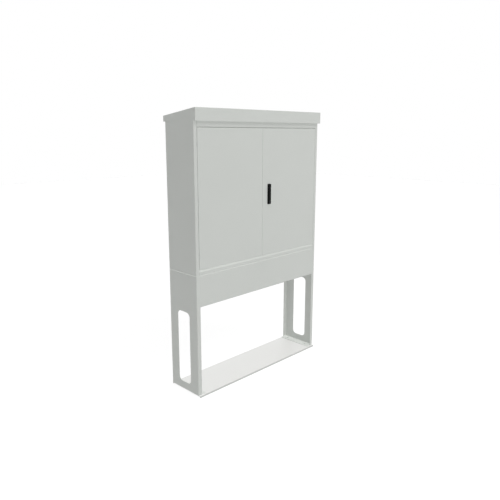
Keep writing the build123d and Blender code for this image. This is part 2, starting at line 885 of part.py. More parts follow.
# Handle hub: journal through the base, with a head whose two cheeks hold the lever's pin.
def make_handle_hub():
    head_z = (spindle_z - cheek_reach, handle_top - handle_end_inset)
    hub = rounded_bar(head_width, head_z, head_corner, (lever_front(), hub_front()), True)
    hub += rod_y(
        hub_radius, handle_x, spindle_z, (hub_front(), door_skin_back + lock_case_sheet)
    )
    half_slot = lever_eye_width / 2 + lever_eye_gap
    hub -= block(
        (handle_x - half_slot, handle_x + half_slot),
        (lever_front() - cut_past, hub_front()),
        (head_z[0] - cut_past, spindle_z + lever_eye_radius + lever_eye_gap),
    )
    hub -= rod_x(lever_pin_radius + running_gap / 2, pivot_y(), spindle_z, head_width)
    half_square = spindle_square / 2 + running_gap / 2
    return hub - block(
        (handle_x - half_square, handle_x + half_square), (hub_front() + hub_wall, 0),
        (spindle_z - half_square, spindle_z + half_square),
    )


def rod_x(radius, y, z, length):
    """Cylinder along X that is centred on the handle."""
    return Pos(handle_x, y, z) * Rot(0, 90, 0) * Cylinder(radius, length)


def make_spindle():
    """Square shaft from the hub to the pinion."""
    half = spindle_square / 2
    y = (hub_front() + hub_wall, bolt_y() + pinion_width / 2)
    return block((handle_x - half, handle_x + half), y, (spindle_z - half, spindle_z + half))


def make_lever_pin():
    """Pivot pin through the head's cheeks and the lever's eye."""
    return rod_x(lever_pin_radius, pivot_y(), spindle_z, head_width - 2 * lever_pin_inset)


# Lever: a flat grip with a narrow neck and an eye at its top end.
def make_lever():
    front = lever_front()
    low = handle_bottom + handle_end_inset
    high = spindle_z - cheek_reach - lever_swing_gap
    back = front + lever_thickness
    lever = rounded_bar(lever_width, (low, high), lever_corner, (front, back), False)
    half = lever_eye_width / 2
    lever += block(
        (handle_x - half, handle_x + half), (front, pivot_y() + lever_eye_radius),
        (high - lever_neck_overlap, spindle_z),
    )
    lever += rod_x(lever_eye_radius, pivot_y(), spindle_z, lever_eye_width)
    lever -= rod_x(
        lever_pin_radius + running_gap, pivot_y(), spindle_z, lever_eye_width + 2 * cut_past
    )
    return lever - rod_y(
        cylinder_radius + running_gap, handle_x, cylinder_height(), past(front, back)
    )


def cylinder_height():
    """Height of the lock cylinder, near the lever's free end."""
    return handle_bottom + cylinder_from_end


def make_lock_cylinder():
    """Lock cylinder's body in the lever, bored for its plug."""
    y = (lever_front() - cylinder_proud, lever_front() + lever_thickness)
    body = rod_y(cylinder_radius, handle_x, cylinder_height(), y)
    bore_y = (y[0] - cut_past, y[1] - cylinder_floor)
    return body - rod_y(plug_radius + running_gap, handle_x, cylinder_height(), bore_y)


def make_key_plug():
    """Turning plug with the slot for the key."""
    front = lever_front() - cylinder_proud - plug_proud
    back = lever_front() + lever_thickness - cylinder_floor - plug_end_gap
    plug = rod_y(plug_radius, handle_x, cylinder_height(), (front, back))
    return plug - block(
        (handle_x - key_slot_width / 2, handle_x + key_slot_width / 2),
        (front - cut_past, front + key_slot_depth),
        (cylinder_height() - key_slot_length / 2, cylinder_height() + key_slot_length / 2),
    )


# Mounting uprights: hat sections on the back wall.
def make_upright(x):
    t = casing_sheet
    back = inner_back - t / 2
    front = inner_back - upright_depth
    half = upright_width / 2
    crown = upright_crown / 2
    points = [
        (x - half, back), (x - crown, back), (x - crown, front),
        (x + crown, front), (x + crown, back), (x + half, back),
    ]
    z = (stand_top + upright_margin, casing_top_height - upright_margin)
    return folded_up(points, t, z)


def upright_front():
    """Front face of the mounting uprights."""
    return inner_back - upright_depth - casing_sheet / 2


# Insulators: ribbed blocks between an upright and each bar.
def make_insulator(x, height):
    y = (upright_front() - insulator_depth, upright_front())
    half = insulator_width / 2
    z = (height - insulator_height / 2, height + insulator_height / 2)
    insulator = block((x - half, x + half), y, z)
    for k in (1, 2):
        middle = y[0] + k * insulator_depth / 3
        groove_y = (middle - insulator_groove / 2, middle + insulator_groove / 2)
        for groove_z in (
            (z[0] - cut_past, z[0] + insulator_groove_depth),
            (z[1] - insulator_groove_depth, z[1] + cut_past),
        ):
            insulator -= block(past(x - half, x + half), groove_y, groove_z)
    return insulator


def busbar_front():
    """Front face of the phase bars."""
    return upright_front() - insulator_depth - busbar_thickness


def make_busbar(height):
    y = (busbar_front(), busbar_front() + busbar_thickness)
    z = (height - busbar_height / 2, height + busbar_height / 2)
    bar = block((-busbar_length / 2, busbar_length / 2), y, z)
    return fillet(bar.edges().filter_by(Axis.X), busbar_edge_radius)


# Fuse rails: a moulded spine on the bars with barriers between the phases.
def make_fuse_rail(x):
    back = busbar_front()
    t = rail_barrier_thickness
    half_spine = rail_spine_width / 2
    half = rail_width / 2
    rail = block(
        (x - half_spine, x + half_spine), (back - rail_spine, back), (rails_bottom, rails_top)
    )
    lowest = rails_top - 3 * busbar_spacing
    for edge in (*[lowest + k * busbar_spacing for k in (0, 1, 2)], rails_top - t):
        rail += block((x - half, x + half), (back - rail_barrier, back), (edge, edge + t))
    for side in (-1, 1):
        side_x = sorted((x + side * half, x + side * (half - t)))
        rail += block(side_x, (back - rail_side_depth, back), (lowest, rails_top))
    return rail


def spine_front():
    """Front face of the fuse rails' spines, which the contacts stand on."""
    return busbar_front() - rail_spine


def fuse_centres():
    """Middle height of the fuse link of each phase."""
    return [level + rail_barrier_thickness / 2 for level in busbar_levels]


def make_contact(x, height):
    """Jaw on a foot, with two walls that hold a blade."""
    inner = blade_thickness / 2 + contact_fit
    z = (height - contact_height / 2, height + contact_height / 2)
    y = (spine_front() - contact_depth, spine_front())
    slot_end = spine_front() - blade_axis + blade_width / 2 + contact_fit
    contact = block((x - inner - contact_wall, x + inner + contact_wall), y, z)
    return contact - block((x - inner, x + inner), (y[0] - cut_past, slot_end), past(*z))


def make_fuse_link(x, height):
    """Square ceramic body with a flat blade at each end."""
    middle = Pos(x, spine_front() - blade_axis, height)
    body = Box(fuse_body_size, fuse_body_size, fuse_body_height)
    body = fillet(body.edges().filter_by(Axis.Z), fuse_body_radius)
    return middle * (body + Box(blade_thickness, blade_width, contact_pitch + 2 * blade_overlap))


# Neutral bar low in the casing, on two angle brackets.
def neutral_bar_back():
    """Rear face of the neutral bar."""
    return upright_front() - neutral_bar_standoff


def neutral_bar_z():
    """Lower and upper edge of the neutral bar."""
    middle = stand_top + neutral_bar_above_floor
    return (middle - neutral_bar_height / 2, middle + neutral_bar_height / 2)


def make_neutral_bar():
    y = (neutral_bar_back() - neutral_bar_thickness, neutral_bar_back())
    bar = block((-neutral_bar_length / 2, neutral_bar_length / 2), y, neutral_bar_z())
    for x in rail_positions:
        bar -= rod_y(neutral_hole_radius, x, sum(neutral_bar_z()) / 2, past(*y))
    return bar


def make_neutral_bracket(side):
    """Folded bracket with a foot on the back wall and a pad behind the bar."""
    t = neutral_bracket_sheet
    rear = inner_back - t / 2
    front = neutral_bar_back() + t / 2
    leg = neutral_bracket_x
    points = [
        (side * (leg + neutral_bracket_foot), rear), (side * leg, rear),
        (side * leg, front), (side * (leg - neutral_bracket_pad), front),
    ]
    return folded_up(points, t, neutral_bar_z(), neutral_bracket_sheet)


# Cable clamp rail: an open channel across the stand, above the cable opening.
def make_clamp_rail():
    t = stand_sheet
    reach = half_width - stand_sheet - edge_clearance
    rear = half_depth - skirt_hem - t
    front = rear - clamp_rail_depth
    low = clamp_rail_height - clamp_rail_width / 2
    high = clamp_rail_height + clamp_rail_width / 2
    points = [
        (front, low + clamp_lip), (front, low), (rear, low), (rear, high), (front, high),
        (front, high - clamp_lip),
    ]
    return folded_across(points, t, (-reach, reach))


def make_cable_clamp(x):
    """Saddle with two feet that holds one cable against the clamp rail."""
    front = half_depth - skirt_hem - stand_sheet - clamp_rail_depth - stand_sheet / 2
    z = (clamp_rail_height - clamp_width / 2, clamp_rail_height + clamp_width / 2)
    outer = cable_radius + clamp_strap
    centre = front - cable_radius
    saddle = rod_z(outer, x, centre, z) & block((x - outer, x + outer), (centre - outer, centre), z)
    saddle += block((x - outer, x + outer), (centre, front), z)
    saddle += block((x - outer - clamp_foot, x + outer + clamp_foot), (front - clamp_strap, front), z)
    saddle -= rod_z(cable_radius, x, centre, past(*z))
    slot_y = (centre, front + cut_past)
    return saddle - block((x - cable_radius, x + cable_radius), slot_y, past(*z))


# Bolts that join the casing to the stand, with their heads below the flange.
def make_casing_bolt(x, y):
    low = stand_top - stand_sheet - bolt_head_height
    high = stand_top + casing_sheet + bolt_tail
    head = Pos(x, y, low) * extrude(RegularPolygon(bolt_head_radius, 6), bolt_head_height)
    return head + rod_z(bolt_shank_radius - bolt_shank_fit, x, y, (low, high))


# Base plate and stand
stand_left_panel = make_stand_panel()
save("base_plate", make_base_plate())
save("stand_left_panel", stand_left_panel)
save("stand_right_panel", mirrored(stand_left_panel))
save("front_skirt", make_skirt(stand_front_flange))
save("rear_skirt", mirror(make_skirt(stand_rear_flange), about=Plane.XZ))
save("cable_clamp_rail", make_clamp_rail())
save("cable_clamps", *[make_cable_clamp(x) for x in rail_positions])
save("casing_bolts", *[
    make_casing_bolt(x, y) for y in (-casing_bolt_y, casing_bolt_y) for x in casing_bolt_positions
])

# Casing
left_side_wall = make_side_wall()
save("left_side_wall", left_side_wall)
save("right_side_wall", mirrored(left_side_wall))
save("back_wall", make_back_wall())
save("casing_top", make_casing_top())
save("casing_sill", make_casing_sill())
save("centre_post", make_centre_post())
save("post_plates", *make_post_plates())
save("roof_hood", make_roof())
save("roof_rafters", make_rafter(-rafter_x), mirrored(make_rafter(-rafter_x)))

# Doors and hinges
left_brackets = [make_hinge_bracket(z) for z in hinge_heights]
left_pins = [make_hinge_pin(z) for z in hinge_heights]
left_seal = make_left_seal()
left_stiffener = make_left_stiffener()
save("left_hinge_brackets", *left_brackets)
save("right_hinge_brackets", *[mirrored(bracket) for bracket in left_brackets])
save("left_hinge_pins", *left_pins)
save("right_hinge_pins", *[mirrored(pin) for pin in left_pins])
save("left_door_panel", make_left_door_panel())
save("right_door_panel", make_right_door_panel())
save("left_door_seal", left_seal)
save("right_door_seal", mirrored(left_seal))
save("left_door_stiffener", left_stiffener)
save("right_door_stiffener", mirrored(left_stiffener))
save("upper_slide_bolt", make_bolt(True))
save("lower_slide_bolt", make_bolt(False))
save("upper_bolt_bracket", make_bolt_bracket(True))
save("lower_bolt_bracket", make_bolt_bracket(False))

# Handle and lock
save("handle_base", make_handle_base())
save("handle_hub", make_handle_hub())
save("spindle", make_spindle())
save("drive_pinion", make_pinion())
save("lever_pin", make_lever_pin())
save("handle_lever", make_lever())
save("lock_cylinder", make_lock_cylinder())
save("key_plug", make_key_plug())
save("lock_case", make_lock_case())
upper_end = opening_top - rod_end_clearance
lower_end = opening_bottom + rod_end_clearance
save("upper_lock_rod", make_lock_rod(-1, upper_end, -rack_tail_teeth, rack_lead_teeth))
save("lower_lock_rod", make_lock_rod(1, lower_end, -rack_lead_teeth, rack_tail_teeth))

# Live parts
save("mounting_uprights", make_upright(-upright_x), make_upright(upright_x))
save("busbar_insulators", *[
    make_insulator(x, level) for level in busbar_levels for x in (-upright_x, upright_x)
])
for number, level in enumerate(busbar_levels, 1):
    save(f"phase_busbar_{number}", make_busbar(level))
for number, x in enumerate(rail_positions, 1):
    save(f"fuse_rail_{number}", make_fuse_rail(x))
    save(f"fuse_links_{number}", *[make_fuse_link(x, height) for height in fuse_centres()])
save("fuse_contacts", *[
    make_contact(x, height + side * contact_pitch / 2)
    for x in rail_positions for height in fuse_centres() for side in (-1, 1)
])
save("neutral_busbar", make_neutral_bar())
save("neutral_brackets", make_neutral_bracket(-1), make_neutral_bracket(1))
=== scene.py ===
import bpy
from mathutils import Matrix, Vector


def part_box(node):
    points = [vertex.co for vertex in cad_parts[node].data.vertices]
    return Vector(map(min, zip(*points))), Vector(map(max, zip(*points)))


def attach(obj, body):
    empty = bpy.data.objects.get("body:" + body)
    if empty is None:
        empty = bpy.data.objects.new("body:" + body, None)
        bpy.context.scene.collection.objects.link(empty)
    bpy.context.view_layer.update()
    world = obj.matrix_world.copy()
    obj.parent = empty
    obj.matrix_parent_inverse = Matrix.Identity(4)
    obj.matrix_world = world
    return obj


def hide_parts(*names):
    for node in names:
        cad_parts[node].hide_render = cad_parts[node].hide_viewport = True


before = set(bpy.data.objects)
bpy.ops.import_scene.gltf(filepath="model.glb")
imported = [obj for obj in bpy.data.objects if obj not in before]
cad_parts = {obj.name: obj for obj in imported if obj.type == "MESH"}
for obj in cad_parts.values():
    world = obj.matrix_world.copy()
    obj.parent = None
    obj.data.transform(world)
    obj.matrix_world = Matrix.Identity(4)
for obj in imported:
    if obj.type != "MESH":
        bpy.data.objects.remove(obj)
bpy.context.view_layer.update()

from math import pi, radians

import bmesh
import bpy
import numpy as np
from mathutils import Vector

scene = bpy.context.scene
scene.view_settings.view_transform = "Standard"

# Camera: an ordinary lens at standing height, in front of the cabinet's left corner.
# The shift is the small offset of the picture's middle from the lens axis.
camera_place = Vector((-2.2835, -2.2714, 1.5037))
camera_yaw = radians(45.046)
camera_pitch = radians(11.315)
picture_side = 500
focal_pixels = 516.1
lens_axis_offset = (-2.46, -12.86)
sensor_width = 36

camera_data = bpy.data.cameras.new("camera")
camera_data.sensor_width = sensor_width
camera_data.lens = focal_pixels / picture_side * sensor_width
camera_data.shift_x = -lens_axis_offset[0] / picture_side
camera_data.shift_y = lens_axis_offset[1] / picture_side
camera = bpy.data.objects.new("camera", camera_data)
camera.location = camera_place
camera.rotation_euler = (pi / 2 - camera_pitch, 0, -camera_yaw)
scene.collection.objects.link(camera)
scene.camera = camera


# World and floor: a white studio sweep. Camera, mirror and glass rays see plain white,
# and the light on the object comes from a dimmer sky, so white never over-lights it.
def linear(code):
    """Linear RGBA of an sRGB hex colour: each channel c gives ((c + 0.055) / 1.055) ** 2.4."""
    channels = [int(code[k:k + 2], 16) / 255 for k in (1, 3, 5)]
    return [c / 12.92 if c <= 0.04045 else ((c + 0.055) / 1.055) ** 2.4 for c in channels] + [1]


def add_node(tree, kind, inputs=(), **settings):
    """Add a node, set its properties, and give each named input a value or a link."""
    node = tree.nodes.new(kind)
    for name, value in settings.items():
        setattr(node, name, value)
    for name, value in dict(inputs).items():
        if isinstance(value, bpy.types.NodeSocket):
            tree.links.new(value, node.inputs[name])
        else:
            node.inputs[name].default_value = value
    return node


def seen_directly(tree):
    """1 on camera, glossy and transmission rays, and 0 on the rays that light the object."""
    path = add_node(tree, "ShaderNodeLightPath")
    either = add_node(tree, "ShaderNodeMath", {
        0: path.outputs["Is Camera Ray"], 1: path.outputs["Is Glossy Ray"],
    }, operation="MAXIMUM")
    return add_node(tree, "ShaderNodeMath", {
        0: either.outputs[0], 1: path.outputs["Is Transmission Ray"],
    }, operation="MAXIMUM").outputs[0]


sky_colour = "#FFFFFF"
sky_level = 0.38

world = bpy.data.worlds.new("white_studio")
world.use_nodes = True
scene.world = world
tree = world.node_tree
tree.nodes.clear()
seen = add_node(tree, "ShaderNodeBackground", {"Color": linear(sky_colour), "Strength": 1.0})
lighting = add_node(tree, "ShaderNodeBackground", {
    "Color": linear(sky_colour), "Strength": sky_level,
})
mixed = add_node(tree, "ShaderNodeMixShader", {
    0: seen_directly(tree), 1: lighting.outputs[0], 2: seen.outputs[0],
})
add_node(tree, "ShaderNodeOutputWorld", {"Surface": mixed.outputs[0]})

floor_half = 14.0
floor_colour = "#C4C4C4"
floor_glow = 0.42

floor_mesh = bpy.data.meshes.new("floor")
floor_mesh.from_pydata(
    [(-floor_half, -floor_half, 0), (floor_half, -floor_half, 0),
     (floor_half, floor_half, 0), (-floor_half, floor_half, 0)],
    [], [(0, 1, 2, 3)],
)
floor = bpy.data.objects.new("floor", floor_mesh)
scene.collection.objects.link(floor)

paper = bpy.data.materials.new("white_paper_sweep")
paper.use_nodes = True
tree = paper.node_tree
tree.nodes.clear()
matt = add_node(tree, "ShaderNodeBsdfDiffuse", {"Color": linear(floor_colour)})
glow = add_node(tree, "ShaderNodeEmission", {
    "Color": linear(sky_colour), "Strength": floor_glow,
})
bright = add_node(tree, "ShaderNodeAddShader", {0: matt.outputs[0], 1: glow.outputs[0]})
mixed = add_node(tree, "ShaderNodeMixShader", {
    0: seen_directly(tree), 1: matt.outputs[0], 2: bright.outputs[0],
})
add_node(tree, "ShaderNodeOutputMaterial", {"Surface": mixed.outputs[0]})
floor_mesh.materials.append(paper)


# Lamps: one large soft box high in front gives the object its shading and its shadow. Two
# wide soft fills without shadows, one in front and one behind, keep every side even.
fill_angle = radians(30)


def add_soft_box(name, place, target, size, watts):
    """Square area lamp at a place, turned towards a target."""
    data = bpy.data.lights.new(name, "AREA")
    data.size = size
    data.energy = watts
    lamp = bpy.data.objects.new(name, data)
    lamp.location = place
    lamp.rotation_euler = (Vector(target) - Vector(place)).to_track_quat("-Z", "Y").to_euler()
    scene.collection.objects.link(lamp)


def add_fill(name, origin, strength):
    """Parallel light that comes from a direction and casts no shadow."""
    data = bpy.data.lights.new(name, "SUN")
    data.energy = strength
    data.angle = fill_angle
    data.use_shadow = False
    lamp = bpy.data.objects.new(name, data)
    lamp.rotation_euler = (-Vector(origin)).to_track_quat("-Z", "Y").to_euler()
    scene.collection.objects.link(lamp)


add_soft_box("high_front_box", place=(0.6, -3.2, 4.6), target=(0, 0, 0.7), size=2.4, watts=50)
add_fill("front_fill", origin=(-0.26, -0.52, 0.82), strength=1.8)
add_fill("rear_fill", origin=(0.40, 0.50, 0.77), strength=0.85)


# Stand, casing, roof and doors: folded sheet steel, powder coated in a light grey. The
# powder melts to a satin skin with a faint orange peel, and its colour drifts slightly.
coat_roughness = (0.42, 0.52)
orange_peel_width = 0.004
orange_peel_height = 0.00004
drift_width = 0.5


def new_material(name):
    """Material with an empty tree, the tree, and the piece's own coordinates in it."""
    material = bpy.data.materials.new(name)
    material.use_nodes = True
    tree = material.node_tree
    tree.nodes.clear()
    return material, tree, add_node(tree, "ShaderNodeTexCoord").outputs["Object"]


def powder_coat(name, colour, drift_colour):
    """Satin coat: a wide noise drifts the colour, and a fine one gives its gloss and relief."""
    material, tree, place = new_material(name)
    drift = add_node(tree, "ShaderNodeTexNoise", {
        "Vector": place, "Scale": 1 / drift_width, "Detail": 2.0,
    })
    tint = add_node(tree, "ShaderNodeMix", {
        "Factor": drift.outputs["Fac"], "A": linear(drift_colour), "B": linear(colour),
    }, data_type="RGBA")
    peel = add_node(tree, "ShaderNodeTexNoise", {
        "Vector": place, "Scale": 1 / orange_peel_width, "Detail": 2.0, "Roughness": 0.4,
    })
    gloss = add_node(tree, "ShaderNodeMapRange", {
        "Value": peel.outputs["Fac"], "To Min": coat_roughness[0], "To Max": coat_roughness[1],
    })
    relief = add_node(tree, "ShaderNodeBump", {
        "Height": peel.outputs["Fac"], "Strength": 0.5, "Distance": orange_peel_height,
    })
    skin = add_node(tree, "ShaderNodeBsdfPrincipled", {
        "Base Color": tint.outputs["Result"], "Roughness": gloss.outputs["Result"],
        "IOR": 1.5, "Normal": relief.outputs["Normal"],
    })
    add_node(tree, "ShaderNodeOutputMaterial", {"Surface": skin.outputs["BSDF"]})
    return material


def dress(material, *nodes):
    """Give a material to CAD nodes by their names."""
    for name in nodes:
        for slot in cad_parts[name].material_slots:
            slot.material = material


casing_coat = powder_coat("grey_powder_coated_steel", "#C9CCC8", "#C5C8C4")
dress(
    casing_coat,
    "stand_left_panel", "stand_right_panel", "front_skirt", "rear_skirt",
    "left_side_wall", "right_side_wall", "back_wall", "casing_top", "casing_sill", "roof_hood",
    "left_door_panel", "right_door_panel",
)


# Base plate: a channel of thicker sheet, folded down at the front and rear to stand on two
# short lips. Its top is painted paler and its lips darker than the stand's grey, as painted
# light on the top and painted shade on the lips.
lip_painted_shade_colour = "#BBBDBA"
painted_light_blend = 0.001

base_coat_with_painted_light = powder_coat("powder_coated_steel_painted_light", "#D1D1CF", "#CECECC")
tree = base_coat_with_painted_light.node_tree
skin = tree.nodes["Principled BSDF"]
place = add_node(tree, "ShaderNodeTexCoord").outputs["Object"]
height = add_node(tree, "ShaderNodeSeparateXYZ", {"Vector": place}).outputs["Z"]
tread_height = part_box("base_plate")[1][2]
# Painted light and shade: the flat top gets the paler colour, and all that lies more than a
# millimetre below it, the lips, gets the darker one.
painted_top_light_mask = add_node(tree, "ShaderNodeMapRange", {
    "Value": height, "From Min": tread_height - painted_light_blend, "From Max": tread_height,
})
tint = add_node(tree, "ShaderNodeMix", {
    "Factor": painted_top_light_mask.outputs["Result"], "A": linear(lip_painted_shade_colour),
    "B": skin.inputs["Base Color"].links[0].from_socket,
}, data_type="RGBA")
tree.links.new(tint.outputs["Result"], skin.inputs["Base Color"])
dress(base_coat_with_painted_light, "base_plate")


# Inner frame: folded from sheet that was galvanised before it was cut, so it keeps the
# zinc's spangle, flat crystals a few millimetres wide that each reflect a little differently.
spangle_width = 0.007
spangle_roughness = (0.30, 0.46)


def galvanised_sheet(name, dark, light):
    """Zinc whose cells of a Voronoi pattern differ in shade and gloss."""
    material, tree, place = new_material(name)
    spangle = add_node(tree, "ShaderNodeTexVoronoi", {
        "Vector": place, "Scale": 1 / spangle_width, "Randomness": 1.0,
    })
    tint = add_node(tree, "ShaderNodeMix", {
        "Factor": spangle.outputs["Color"], "A": linear(dark), "B": linear(light),
    }, data_type="RGBA")
    gloss = add_node(tree, "ShaderNodeMapRange", {
        "Value": spangle.outputs["Color"],
        "To Min": spangle_roughness[0], "To Max": spangle_roughness[1],
    })
    skin = add_node(tree, "ShaderNodeBsdfPrincipled", {
        "Base Color": tint.outputs["Result"], "Metallic": 1.0,
        "Roughness": gloss.outputs["Result"],
    })
    add_node(tree, "ShaderNodeOutputMaterial", {"Surface": skin.outputs["BSDF"]})
    return material


zinc_sheet = galvanised_sheet("galvanised_sheet_steel", "#A3A8AC", "#BEC2C4")
dress(
    zinc_sheet,
    "centre_post", "post_plates", "roof_rafters", "mounting_uprights", "cable_clamp_rail",
    "neutral_brackets", "left_door_stiffener", "right_door_stiffener", "lock_case",
)


# Turned, stamped and drawn hardware: hinges, slide bolts, lock rods, pinion and bolts, of
# steel with a thin bright zinc plating that handling has dulled in soft patches.
def plated_metal(name, bright, dull, patch_width, roughness):
    """Metal whose colour and gloss follow one soft noise, from bright and smooth to dull."""
    material, tree, place = new_material(name)
    patches = add_node(tree, "ShaderNodeTexNoise", {
        "Vector": place, "Scale": 1 / patch_width, "Detail": 4.0, "Roughness": 0.6,
    })
    tint = add_node(tree, "ShaderNodeMix", {
        "Factor": patches.outputs["Fac"], "A": linear(bright), "B": linear(dull),
    }, data_type="RGBA")
    gloss = add_node(tree, "ShaderNodeMapRange", {
        "Value": patches.outputs["Fac"], "To Min": roughness[0], "To Max": roughness[1],
    })
    skin = add_node(tree, "ShaderNodeBsdfPrincipled", {
        "Base Color": tint.outputs["Result"], "Metallic": 1.0,
        "Roughness": gloss.outputs["Result"],
    })
    add_node(tree, "ShaderNodeOutputMaterial", {"Surface": skin.outputs["BSDF"]})
    return material


zinc_plate = plated_metal(
    "zinc_plated_steel", "#C8CBCD", "#9EA2A6", patch_width=0.012, roughness=(0.22, 0.42),
)
dress(
    zinc_plate,
    "left_hinge_brackets", "right_hinge_brackets", "left_hinge_pins", "right_hinge_pins",
    "upper_slide_bolt", "lower_slide_bolt", "upper_bolt_bracket", "lower_bolt_bracket",
    "upper_lock_rod", "lower_lock_rod", "drive_pinion", "spindle", "casing_bolts",
)


# Swing handle: base, hub and lever moulded in black glass-filled nylon. The mould's spark
# finish leaves a dull, even grain, drawn here coarser than the tenth of a millimetre it is.
def moulded_plastic(
    name, colour, mottle_colour, grain_width, grain_height, roughness, reflectance=0.5,
):
    """Plastic with one fine noise in its relief, its gloss and its faint mottle."""
    material, tree, place = new_material(name)
    grain = add_node(tree, "ShaderNodeTexNoise", {
        "Vector": place, "Scale": 1 / grain_width, "Detail": 3.0, "Roughness": 0.6,
    })
    tint = add_node(tree, "ShaderNodeMix", {
        "Factor": grain.outputs["Fac"], "A": linear(colour), "B": linear(mottle_colour),
    }, data_type="RGBA")
    gloss = add_node(tree, "ShaderNodeMapRange", {
        "Value": grain.outputs["Fac"], "To Min": roughness[0], "To Max": roughness[1],
    })
    relief = add_node(tree, "ShaderNodeBump", {
        "Height": grain.outputs["Fac"], "Strength": 0.6, "Distance": grain_height,
    })
    skin = add_node(tree, "ShaderNodeBsdfPrincipled", {
        "Base Color": tint.outputs["Result"], "Roughness": gloss.outputs["Result"],
        "IOR": 1.53, "Specular IOR Level": reflectance, "Normal": relief.outputs["Normal"],
    })
    add_node(tree, "ShaderNodeOutputMaterial", {"Surface": skin.outputs["BSDF"]})
    return material


handle_nylon = moulded_plastic(
    "black_glass_filled_nylon", "#090B0A", "#0E100F", grain_width=0.0006,
    grain_height=0.00002, roughness=(0.45, 0.60), reflectance=0.06,
)
dress(handle_nylon, "handle_base", "handle_hub", "handle_lever")


# Lock: a die-cast cylinder in the lever and its turning plug, both under a black plating
# that is a little brighter on the plug, where keys have rubbed it. The lever's pin matches.
cylinder_chrome = plated_metal(
    "black_chromed_zinc", "#303234", "#232526", patch_width=0.006, roughness=(0.25, 0.38),
)
plug_nickel = plated_metal(
    "black_nickelled_brass", "#3A3C3E", "#26282A", patch_width=0.004, roughness=(0.20, 0.34),
)
dress(cylinder_chrome, "lock_cylinder", "lever_pin")
dress(plug_nickel, "key_plug")


# Door seals: foamed rubber strip, glued round the return flange. Its open cells drink the
# light, so it is the dullest black on the cabinet. They are drawn at twice their width.
seal_foam = moulded_plastic(
    "foamed_rubber", "#161616", "#242424", grain_width=0.0012,
    grain_height=0.0002, roughness=(0.85, 0.98), reflectance=0.2,
)
dress(seal_foam, "left_door_seal", "right_door_seal")


# Phase bars and neutral bar: hard-drawn copper flats. Drawing leaves long faint lines along
# the bar, and the surface has browned unevenly since. The lines are drawn a millimetre
# wide, some five times their real width, so that they show.
line_length = 0.15
line_width = 0.0012
line_depth = 0.00005
line_roughness = (0.22, 0.46)
tarnish_width = 0.06


def drawn_copper(name, bright, brown):
    """Copper with a noise stretched along the bar for its lines, and a wide one for tarnish."""
    material, tree, place = new_material(name)
    along = add_node(tree, "ShaderNodeMapping", {
        "Vector": place, "Scale": (1 / line_length, 1 / line_width, 1 / line_width),
    })
    lines = add_node(tree, "ShaderNodeTexNoise", {
        "Vector": along.outputs["Vector"], "Scale": 1.0, "Detail": 3.0,
    })
    tarnish = add_node(tree, "ShaderNodeTexNoise", {
        "Vector": place, "Scale": 1 / tarnish_width, "Detail": 4.0,
    })
    tint = add_node(tree, "ShaderNodeMix", {
        "Factor": tarnish.outputs["Fac"], "A": linear(bright), "B": linear(brown),
    }, data_type="RGBA")
    gloss = add_node(tree, "ShaderNodeMapRange", {
        "Value": lines.outputs["Fac"], "To Min": line_roughness[0], "To Max": line_roughness[1],
    })
    relief = add_node(tree, "ShaderNodeBump", {
        "Height": lines.outputs["Fac"], "Strength": 0.4, "Distance": line_depth,
    })
    skin = add_node(tree, "ShaderNodeBsdfPrincipled", {
        "Base Color": tint.outputs["Result"], "Metallic": 1.0,
        "Roughness": gloss.outputs["Result"], "Normal": relief.outputs["Normal"],
    })
    add_node(tree, "ShaderNodeOutputMaterial", {"Surface": skin.outputs["BSDF"]})
    return material


bar_copper = drawn_copper("drawn_copper", "#CF8A66", "#A9684A")
dress(bar_copper, "phase_busbar_1", "phase_busbar_2", "phase_busbar_3", "neutral_busbar")


# Fuse contacts: copper jaws plated with silver, which has yellowed in places.
# The plating is thin and even, and shows the jaws' edges as clean bright lines.
contact_silver = plated_metal(
    "silver_plated_copper", "#C4C0B6", "#928C7F", patch_width=0.008, roughness=(0.18, 0.34),
)
dress(contact_silver, "fuse_contacts")


# Insulators: ribbed blocks pressed from red-brown polyester moulding compound, whose
# chopped glass shows as a slight mottle under a half-glossy skin.
insulator_resin = moulded_plastic(
    "red_polyester_resin", "#7C2A1C", "#8F3826", grain_width=0.0025,
    grain_height=0.00003, roughness=(0.30, 0.44),
)
dress(insulator_resin, "busbar_insulators")


# Fuse rails: dark grey thermoplastic mouldings with a matt spark finish. The cable clamps
# are black nylon from the same kind of mould, and a little glossier. The finish's grain is
# a tenth of a millimetre, and is drawn at one millimetre so that it shows.
rail_plastic = moulded_plastic(
    "grey_moulded_thermoplastic", "#3A3D40", "#43474A", grain_width=0.0010,
    grain_height=0.00003, roughness=(0.46, 0.60),
)
clamp_nylon = moulded_plastic(
    "black_nylon", "#222425", "#2A2C2D", grain_width=0.0010,
    grain_height=0.00003, roughness=(0.40, 0.55),
)
dress(rail_plastic, "fuse_rail_1", "fuse_rail_2", "fuse_rail_3", "fuse_rail_4")
dress(clamp_nylon, "cable_clamps")


# Phase bars' bolts: cold-headed hexagon bolts of zinc-plated steel, with washers, hold each
# bar to its two insulators. A chamfer rounds the corners of each head.
bar_thread = 0.010
insulator_half_width = 0.018
head_corner = 0.90
stud_radius = 0.50
washer_profile = [(0, 0), (0, 0.18), (0.04, 0.20)]
head_profile = [(0, 0.20), (0, 0.76), (0.10, 0.86)]
stud_profile = [(0, 0), (0, 1.30), (0.10, 1.40)]
crease_angle = radians(30)
facing = {
    "-y": np.array([(1, 0, 0), (0, 0, 1), (0, -1, 0)]),
    "+y": np.array([(-1, 0, 0), (0, 0, 1), (0, 1, 0)]),
    "+z": np.array([(1, 0, 0), (0, 1, 0), (0, 0, 1)]),
    "-z": np.array([(-1, 0, 0), (0, 1, 0), (0, 0, -1)]),
}


